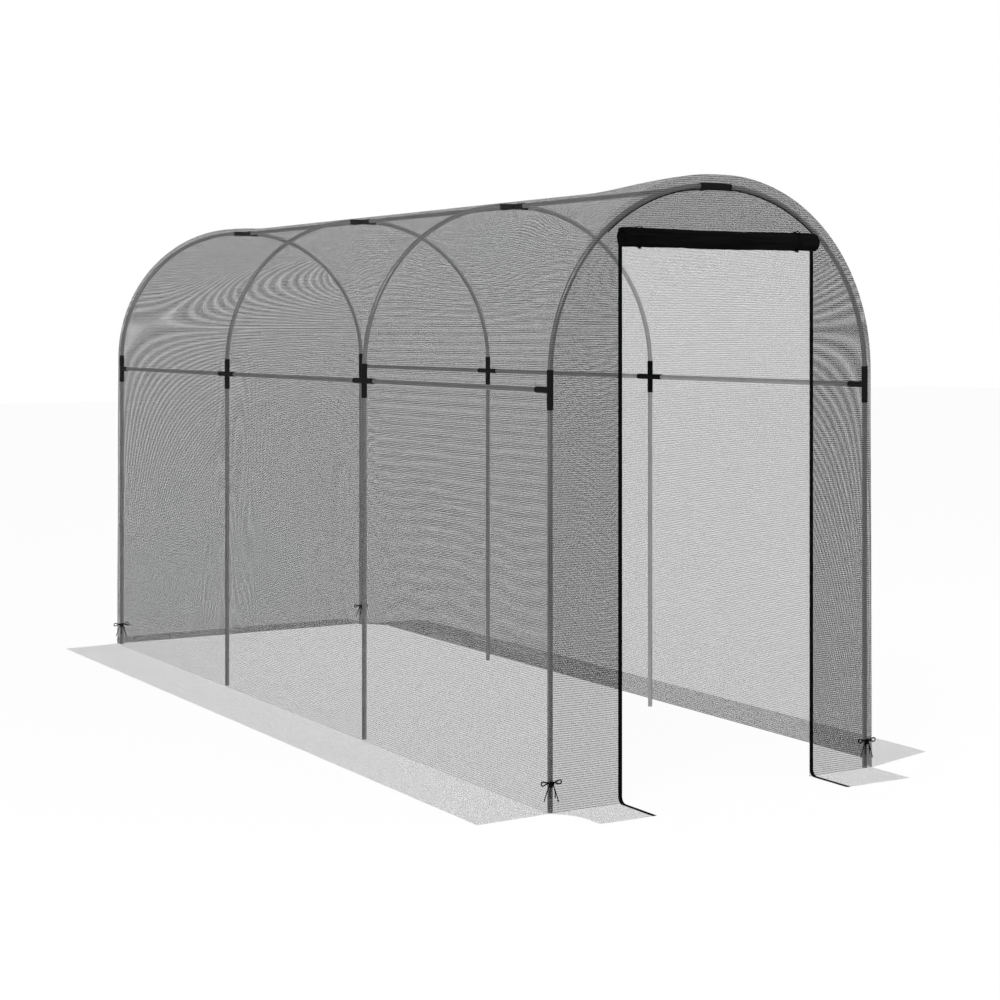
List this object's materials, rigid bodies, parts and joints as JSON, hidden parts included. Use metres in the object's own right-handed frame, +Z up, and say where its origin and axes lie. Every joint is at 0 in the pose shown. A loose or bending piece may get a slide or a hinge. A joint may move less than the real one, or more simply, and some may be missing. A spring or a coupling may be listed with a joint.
{
  "type": "crop cage",
  "caption": "Hooped tube frame in straight bays under a fitted woven net cover with flat ground skirts and an open doorway with its net rolled up above.",
  "frame": {"origin": "on the ground, at the middle of the whole footprint with its skirts", "axes": "+X to the right seen from the doorway, +Y back along the length, +Z up; the doorway faces -Y"},
  "size_m": [1.774, 3.992, 1.873],
  "materials": {
    "steel_tube": "grey coated steel tube, semi-gloss",
    "connector": "black moulded plastic, satin",
    "net": "fine dark woven mesh, see-through",
    "tape": "black woven binding tape",
    "rolled_net": "dark net rolled up many turns thick",
    "cord": "black round cord"
  },
  "bodies": {
    "root": {"post_left_1": "steel_tube", "post_left_2": "steel_tube", "post_left_3": "steel_tube", "post_left_4": "steel_tube", "post_right_1": "steel_tube", "post_right_2": "steel_tube", "post_right_3": "steel_tube", "post_right_4": "steel_tube", "hoop_1": "steel_tube", "hoop_2": "steel_tube", "hoop_3": "steel_tube", "hoop_4": "steel_tube", "shoulder_left_1": "connector", "shoulder_left_2": "connector", "shoulder_left_3": "connector", "shoulder_left_4": "connector", "shoulder_right_1": "connector", "shoulder_right_2": "connector", "shoulder_right_3": "connector", "shoulder_right_4": "connector", "crown_1": "connector", "crown_2": "connector", "crown_3": "connector", "crown_4": "connector", "rails_left": "steel_tube", "rails_right": "steel_tube", "ridge_tubes": "steel_tube", "side_net_left": "net", "side_net_right": "net", "roof_net_left": "net", "roof_net_right": "net", "front_net_left": "net", "front_net_right": "net", "front_net_top": "net", "rear_net": "net", "skirt_left": "net", "skirt_right": "net", "skirt_front": "net", "skirt_rear": "net", "door_tapes": "tape", "rolled_door": "rolled_net", "roll_ties": "cord", "tie_front_left": "cord", "tie_front_right": "cord", "tie_rear_left": "cord", "tie_rear_right": "cord"}
  },
  "joints": []
}
